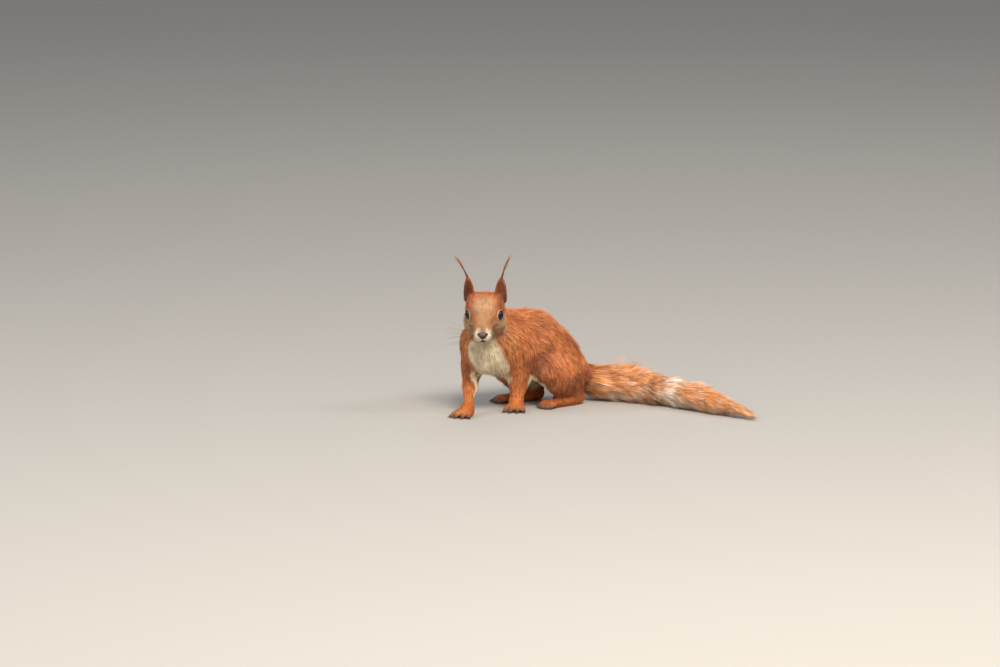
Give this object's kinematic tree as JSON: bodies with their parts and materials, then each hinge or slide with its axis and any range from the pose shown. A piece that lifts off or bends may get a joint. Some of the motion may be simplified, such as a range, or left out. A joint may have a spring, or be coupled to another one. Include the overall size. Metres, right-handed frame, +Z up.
{
  "type": "red squirrel",
  "caption": "Life-size red squirrel standing on four feet, head turned to its left, tufted ears, white front, long bushy tail laid along the floor.",
  "frame": {"origin": "centre of the footprint, on the floor under the soles and the tail", "axes": "+Z up; the squirrel faces -Y with its left side towards +X, and its tail lies along the floor towards +X"},
  "size_m": [0.2484, 0.2098, 0.1506],
  "materials": {
    "coat": "dense soft fur, rust red above and white below",
    "tail": "long loose hair, paler orange",
    "paw": "very short fur over bare greyish toes",
    "nose": "fine pebbled bare skin",
    "eye": "wet black gloss",
    "claw": "smooth dark horn"
  },
  "bodies": {
    "root": {"head": "coat", "neck": "coat", "chest": "coat", "belly": "coat", "rump": "coat", "ear_left": "coat", "ear_tuft_left": "coat", "upperarm_left": "coat", "forearm_left": "coat", "thigh_left": "coat", "shank_left": "coat", "eye_left": "eye", "forepaw_left": "paw", "hindpaw_left": "paw", "claw_fore_left_1": "claw", "claw_fore_left_2": "claw", "claw_fore_left_3": "claw", "claw_fore_left_4": "claw", "claw_hind_left_1": "claw", "claw_hind_left_2": "claw", "claw_hind_left_3": "claw", "claw_hind_left_4": "claw", "claw_hind_left_5": "claw", "ear_right": "coat", "ear_tuft_right": "coat", "upperarm_right": "coat", "forearm_right": "coat", "thigh_right": "coat", "shank_right": "coat", "eye_right": "eye", "forepaw_right": "paw", "hindpaw_right": "paw", "claw_fore_right_1": "claw", "claw_fore_right_2": "claw", "claw_fore_right_3": "claw", "claw_fore_right_4": "claw", "claw_hind_right_1": "claw", "claw_hind_right_2": "claw", "claw_hind_right_3": "claw", "claw_hind_right_4": "claw", "claw_hind_right_5": "claw", "nose": "nose", "tail_1": "tail", "tail_2": "tail", "tail_3": "tail", "tail_4": "tail"}
  },
  "joints": []
}
